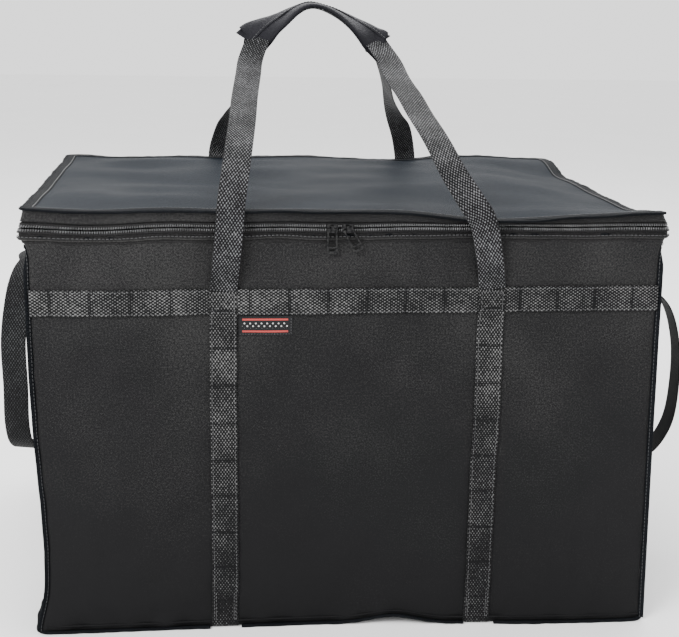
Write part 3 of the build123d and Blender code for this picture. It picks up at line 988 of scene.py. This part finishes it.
def zip_chain():
    """Both halves of the zip, as teeth, tape and cord, and the tabs at its rear ends."""
    middle = (COIL_LOW + COIL_HIGH) / 2
    halves = (
        ("bag", "lower", settle, COIL_LOW + 0.3, -1, (HEM_LOW, middle - 0.9)),
        ("lid", "upper", settle_lid, COIL_HIGH - 0.3, 1, (middle + 0.9, LID_TOP - 3.5)),
    )
    for body, part, warp, foot, way, span in halves:
        row = teeth(f"zip_teeth_{part}", foot, middle + 0.5 * way, -0.25 * way, warp)
        place(row, body, "zip_coil", f"zip_coil_{part}")
        tape = upright(f"zip_tape_cloth_{part}", HALF_W + 0.35, HALF_D + 0.35, 0.6,
                       np.linspace(*span, 9), "zip_tape", warp, rear=ZIP_REAR)
        place(tape, body, "zip_tape", f"zip_tape_{part}")
        path, away, up = round_bag(HALF_W + 0.45, HALF_D + 0.45, foot + 0.5 * way, corner=5, step=3,
                                   rear=ZIP_REAR)
        cord = sweep(f"zip_cord_{part}", path, away, up, plump(1.5, 1.2), "zip_tape", warp=warp)
        place(cord, body, "zip_tape")
    low, high = limits("zip_end_tabs")
    y = np.linspace(low[1], high[1] + 4, 16)
    for side, sign in (("left", -1), ("right", 1)):
        path = np.column_stack([np.full_like(y, sign * (HALF_W + 1.2)), y, np.full_like(y, 390.0)])
        out = np.tile([sign, 0.0, 0.0], (len(y), 1))
        tab = sweep(f"zip_end_tab_{side}", path, np.tile(UP, (len(y), 1)), out,
                    web_section(10.5, 1.6), "binding_tape")
        place(tab, "bag", "binding_tape", *(["zip_end_tabs"] if side == "left" else []))


# ---------------- lid


def lid():
    """The lid's cloth, foam and foil, its side cloth, and the binding round its edge."""
    top = LID_TOP - 0.4
    panel = tray("lid_cloth_top", LID_X, LID_Y, top, SHELL, "lid_cloth", settle_lid, corner=9)
    place(panel, "lid", "lid_cloth", "lid_panel")

    board = tray("lid_foam_board", HALF_W - 3, HALF_D - 3, top - SHELL - 0.3, FOAM - 0.6, "foam",
                 settle_lid, corner=10)
    place(board, "lid", "foam", "lid_foam")

    def creases(x, y):
        return 0.15 + 0.22 * ripple(x, y, 131, 34, count=14) + 0.15 * ripple(x, y, 132, 15, count=14)

    under = top - SHELL - 0.3 - FOAM + 0.2
    foil = tray("lid_foil", HALF_W - 4, HALF_D - 4, under, 0.35, "foil", settle_lid, corner=10,
                wave=creases)
    place(foil, "lid", "foil", "lid_liner")

    heights = np.linspace(SKIRT_LOW, top - 0.8, 8)

    def slack(gone, z):
        return 0.2 + 0.35 * ripple(gone, z, 133, 36)

    skirt = upright("lid_side_cloth", LID_X - 0.2, LID_Y - 0.2, SHELL - 0.2, heights, "shell_cloth",
                    settle_lid, wave=slack)
    place(skirt, "lid", "shell_cloth", "lid_skirt")

    path, away, up = round_bag(LID_X - 0.6, LID_Y - 0.6, top - 0.7, corner=9, step=2.4)
    gone = gone_along(path)
    path = path + up * (0.35 * waver(gone, 134, 52))[:, None]
    pinch = 1 + 0.10 * waver(gone, 135, 13)
    section = plump(FLANGE_X - LID_X + 0.9, 2.7)[None] * pinch[:, None, None]
    flange = sweep("lid_edge_binding", path, away, up, section, "binding_tape", closed=True,
                   warp=settle_lid)
    place(flange, "lid", "binding_tape", "lid_binding")

    path, away, up = round_bag(LID_X - 4.6, LID_Y - 4.6, LID_TOP - 0.15, corner=7, step=2.4)
    border = sweep("lid_edge_border", path, away, up, plump(9.6, 1.1) - [4.8, 0], "binding_tape",
                   closed=True, warp=settle_lid)
    place(border, "lid", "binding_tape")
    path, away, up = round_bag(LID_X - 7.6, LID_Y - 7.6, LID_TOP + 0.45, corner=6, step=2.4)
    row = stitches("lid_edge_stitches", [(path, up)], radius=0.42, warp=settle_lid)
    place(row, "lid", "lid_cloth")


def hinge_strip():
    """Cloth that joins the lid to the rear wall."""
    low, high = limits("lid_hinge_strip")
    x = np.linspace(low[0] + 3, high[0] - 3, 150)
    z = np.linspace(HEM_LOW + 1, SKIRT_LOW + 5, 24)
    gx, gz = np.meshgrid(x, z)
    outer = np.stack([gx, np.full_like(gx, HALF_D + 0.75) + 0.15 * ripple(gx, gz, 141, 50), gz], -1)
    strip_cloth = slab("hinge_cloth", settle(outer), settle(outer - [0, 0.6, 0]),
                       np.stack([gx, gz], -1), "shell_cloth")
    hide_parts("lid_hinge_strip")
    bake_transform(strip_cloth)


# ---------------- carry loops and grip


def arch_frame(steps):
    """Over the grip: places, and directions out of the front strap's face."""
    path = curve([(x, 0.0, z) for x, z in ARCH], steps)
    t = np.linspace(0, 1, steps)
    along = unit(np.gradient(path, axis=0))
    above = np.column_stack([-along[:, 2], 0 * t, along[:, 0]])
    turn = np.radians(90) * np.sin(pi * t) ** 0.8
    out = above * np.sin(turn)[:, None] + np.array([0.0, -1.0, 0.0]) * np.cos(turn)[:, None]
    return path, unit(out)


def leg(name):
    """Control points up one leg, and the directions out of its face."""
    side = -1 if name.startswith("front") else 1
    points = np.array([(x, side * y, z) for x, (y, z) in zip(LEG_X[name], LEG_PROFILE)])
    along = unit(np.gradient(points, axis=0))
    return points, unit(np.cross([1.0, 0, 0], along)) * -side


def loop_path(end):
    """The whole loop, up its left leg, over the arch and down its right leg."""
    offset = WEB / 2 + 0.3
    over, out = arch_frame(13)
    if end == "front":
        over = over + out * offset
    else:
        over, out = over - out * offset, -out
    left, left_out = leg(f"{end}_left")
    right, right_out = leg(f"{end}_right")
    points = np.vstack([left, over[1:-1], right[::-1]])
    outs = np.vstack([left_out, out[1:-1], right_out[::-1]])
    if end == "rear":
        twist = smooth(points[:, 2], 440, 500) * (np.abs(points[:, 1]) > 1)
        outs = unit(outs + np.outer(twist * np.sign(points[:, 0]) * 1.7, [1.0, 0, 0]))
    both = curve(np.hstack([points, 60 * outs]), 420)
    return both[:, :3], unit(both[:, 3:])


def carry_loops():
    """The free part of both straps, from just above the band up over the grip."""
    for k, (end, sign) in enumerate((("front", -1), ("rear", 1))):
        path, out = loop_path(end)
        gone = gone_along(path)
        free = smooth(path[:, 2], 350, 400)
        path = path + out * (0.9 * waver(gone, 151 + k, 90) * free)[:, None]
        across, out = frames(path, out)
        loop = sweep(f"carry_loop_{end}", path, across, out, web_section(WEB_WIDTH, WEB), "webbing")
        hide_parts(f"{end}_carry_loop")
        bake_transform(loop)


def grip_wrap():
    """Cloth folded round both straps, with the corner of its closing flap standing off."""
    path, out = arch_frame(90)
    along = unit(np.gradient(path, axis=0))
    across, out = frames(path, out)
    length = path_length(path)
    t = np.linspace(0, 1, len(path))
    wide = 30.0 + 2.2 * np.cos(2 * pi * t) + 2.5 * smooth(-t, -0.2, 0.0)
    wide = wide + 0.7 * waver(t * length, 161, 45)
    deep = 6.4 + 1.5 * np.abs(np.cos(pi * t)) + 0.5 * waver(t * length, 162, 38)
    turn = np.linspace(0, 2 * pi, 48, endpoint=False)
    a, b = squarish(turn, 0.55, 0.75)
    section = np.stack([a[None] * wide[:, None] / 2, b[None] * deep[:, None] / 2], -1)
    crease = 1 + 0.03 * ripple(a[None] * 14, t[:, None] * length, 163, 24)
    section = section * crease[..., None]
    # the lower edge reaches further down the right strap than the upper one
    slant = (5.0 * smooth(t, 0.86, 1.0) + 3.0 * smooth(-t, -0.14, 0.0))[:, None] * a[None]

    def slanted(points):
        return points + along[:, None] * slant[..., None]

    body = sweep("grip_cloth_roll", path, across, out, section, "grip_cloth", warp=slanted)
    place(body, "front_loop", "grip_cloth", "grip_wrap")

    s = np.linspace(0.0, 0.985, 90)
    spots = (s * (len(path) - 1)).astype(int)
    v = np.linspace(0, 1, 18)
    upper, lower = -14.9 * np.ones_like(s), 2.5 - 9.0 * s
    side = upper[:, None] + v[None, :] * (lower - upper)[:, None]
    lift = deep[spots] / 2 + 0.9 + 0.3 * waver(s * length, 164, 30)
    drop = -((1 - v) ** 6)[None, :] * (lift * 0.72)[:, None] * smooth(s, 0.02, 0.16)[:, None]
    centre, al, aw, ow = path[spots], along[spots], across[spots], out[spots]
    corner = -9.0 * smooth(-s, -0.12, 0.0)[:, None] * (1 - v)[None, :] ** 0.8
    corner = corner + 3.0 * smooth(s, 0.90, 0.985)[:, None] * (1 - v)[None, :]
    outer = centre[:, None] + aw[:, None] * side[..., None] + al[:, None] * corner[..., None]
    outer = outer + ow[:, None] * (lift[:, None] + drop)[..., None]
    uv = np.stack([side, np.broadcast_to((s * length)[:, None], side.shape)], -1)
    flap = slab("grip_flap", outer, outer - ow[:, None] * 0.8, uv, "grip_cloth")
    place(flap, "front_loop", "grip_cloth")
    edge = centre + aw * (lower - 2.2)[:, None] + ow * (lift + 0.15)[:, None]
    place(stitches("grip_stitches", [(edge, ow)], pitch=3.4, warp=None), "front_loop", "grip_cloth")


# ---------------- side loops


def side_loop(side):
    """A loop of webbing on one side, twisted where it leaves the wall."""
    sign = -1 if side == "left" else 1
    turned = radians(LEFT_TURN) if side == "left" else 0.0
    both = curve(SIDE_LOOP[side], 280)
    away, z = both[:, 0], both[:, 1]
    slope = unit(np.gradient(both, axis=0))
    face = np.column_stack([-slope[:, 1], slope[:, 0]])
    turn = turned * smooth(away, 4, 34)
    base = HALF_W + away - SIDE_PIVOT
    cs, sn = np.cos(turn), np.sin(turn)

    def swung(out_amount, side_amount, height):
        """Straight-out coordinates turned about the pivot line, on this side of the bag."""
        x = SIDE_PIVOT + out_amount * cs + side_amount * sn
        y = SIDE_Y - out_amount * sn + side_amount * cs
        return np.column_stack([sign * x, y, height])

    path = swung(base, 0 * base, z)
    across = unit(swung(base, 1 + 0 * base, z) - path)
    out = unit(swung(base - face[:, 0], 0 * base, z - face[:, 1]) - path)
    out = unit(out - across * np.sum(out * across, axis=1, keepdims=True))
    gone = gone_along(path)
    stray = 0.8 * waver(gone, 171 + sign, 90) * smooth(away, 10, 40)
    path = path + across * stray[:, None]
    # the side loops wear the darker copy of the webbing, painted shade
    loop = sweep(f"side_loop_{side}_webbing", path, across, out, web_section(WEB_WIDTH, WEB),
                 "webbing_in_painted_shade")
    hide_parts(f"side_loop_{side}", f"side_loop_ends_{side}")
    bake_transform(loop)
    rows = []
    face_x = sign * (HALF_W + 2.2)
    for low, high in SIDE_SEWN[side]:
        rows += straight_runs(crossed_box(SIDE_Y, SEWN_HALF, low, high), lambda y, z: (face_x, y, z),
                              (float(sign), 0.0, 0.0))
    place(stitches(f"side_loop_{side}_stitches", rows), "bag", "webbing")


# ---------------- metal, stage, lights, camera


def metal_parts():
    """The sliders and their pulls are the frame's own solids, in dark metal."""
    for node in ("slider_left", "slider_right", "zip_pull_left", "zip_pull_right"):
        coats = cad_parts[node].data.materials
        coats.clear()
        coats.append(materials["zip_metal"])


def stage():
    """The floor, the sky and the lamps."""
    bpy.ops.mesh.primitive_plane_add(size=14, location=(0, 3.0, 0))
    floor = bpy.context.object
    floor.name = "floor"
    floor.data.materials.append(materials["floor"])
    world = bpy.data.worlds.new("studio")
    bpy.context.scene.world = world
    world.use_nodes = True
    sky = world.node_tree.nodes["Background"]
    sky.inputs["Color"].default_value = rgb(1, 1, 1)
    sky.inputs["Strength"].default_value = SKY
    for name, at, size, power in LAMPS:
        lamp = bpy.data.lights.new(name, "AREA")
        lamp.size = size
        lamp.energy = power
        obj = bpy.data.objects.new(name, lamp)
        obj.location = at
        aim = Vector((0, 0, 0.2)) - Vector(at)
        obj.rotation_euler = aim.to_track_quat("-Z", "Y").to_euler()
        bpy.context.collection.objects.link(obj)


def camera():
    """Above eye level with the bag, a little to its left, with a trace of roll."""
    yaw, pitch, roll = (radians(angle) for angle in CAMERA_TURN)
    forward = Vector((sin(yaw) * cos(pitch), cos(yaw) * cos(pitch), -sin(pitch)))
    level = Vector((cos(yaw), -sin(yaw), 0))
    above = level.cross(forward)
    right = level * cos(roll) + above * sin(roll)
    up = right.cross(forward)
    lens = bpy.data.cameras.new("camera")
    lens.lens = LENS
    lens.sensor_width = 36
    obj = bpy.data.objects.new("camera", lens)
    turn = Matrix((right, up, -forward)).transposed().to_4x4()
    obj.matrix_world = Matrix.Translation(CAMERA_AT) @ turn
    bpy.context.collection.objects.link(obj)
    bpy.context.scene.camera = obj


make_materials()
camera()
stage()
body_walls()
bottom_cloth()
padding()
lining()
hem()
rim_binding()
corner_seams()
bottom_seam()
bands()
sewn_straps()
label()
zip_chain()
lid()
hinge_strip()
carry_loops()
grip_wrap()
side_loop("left")
side_loop("right")
metal_parts()
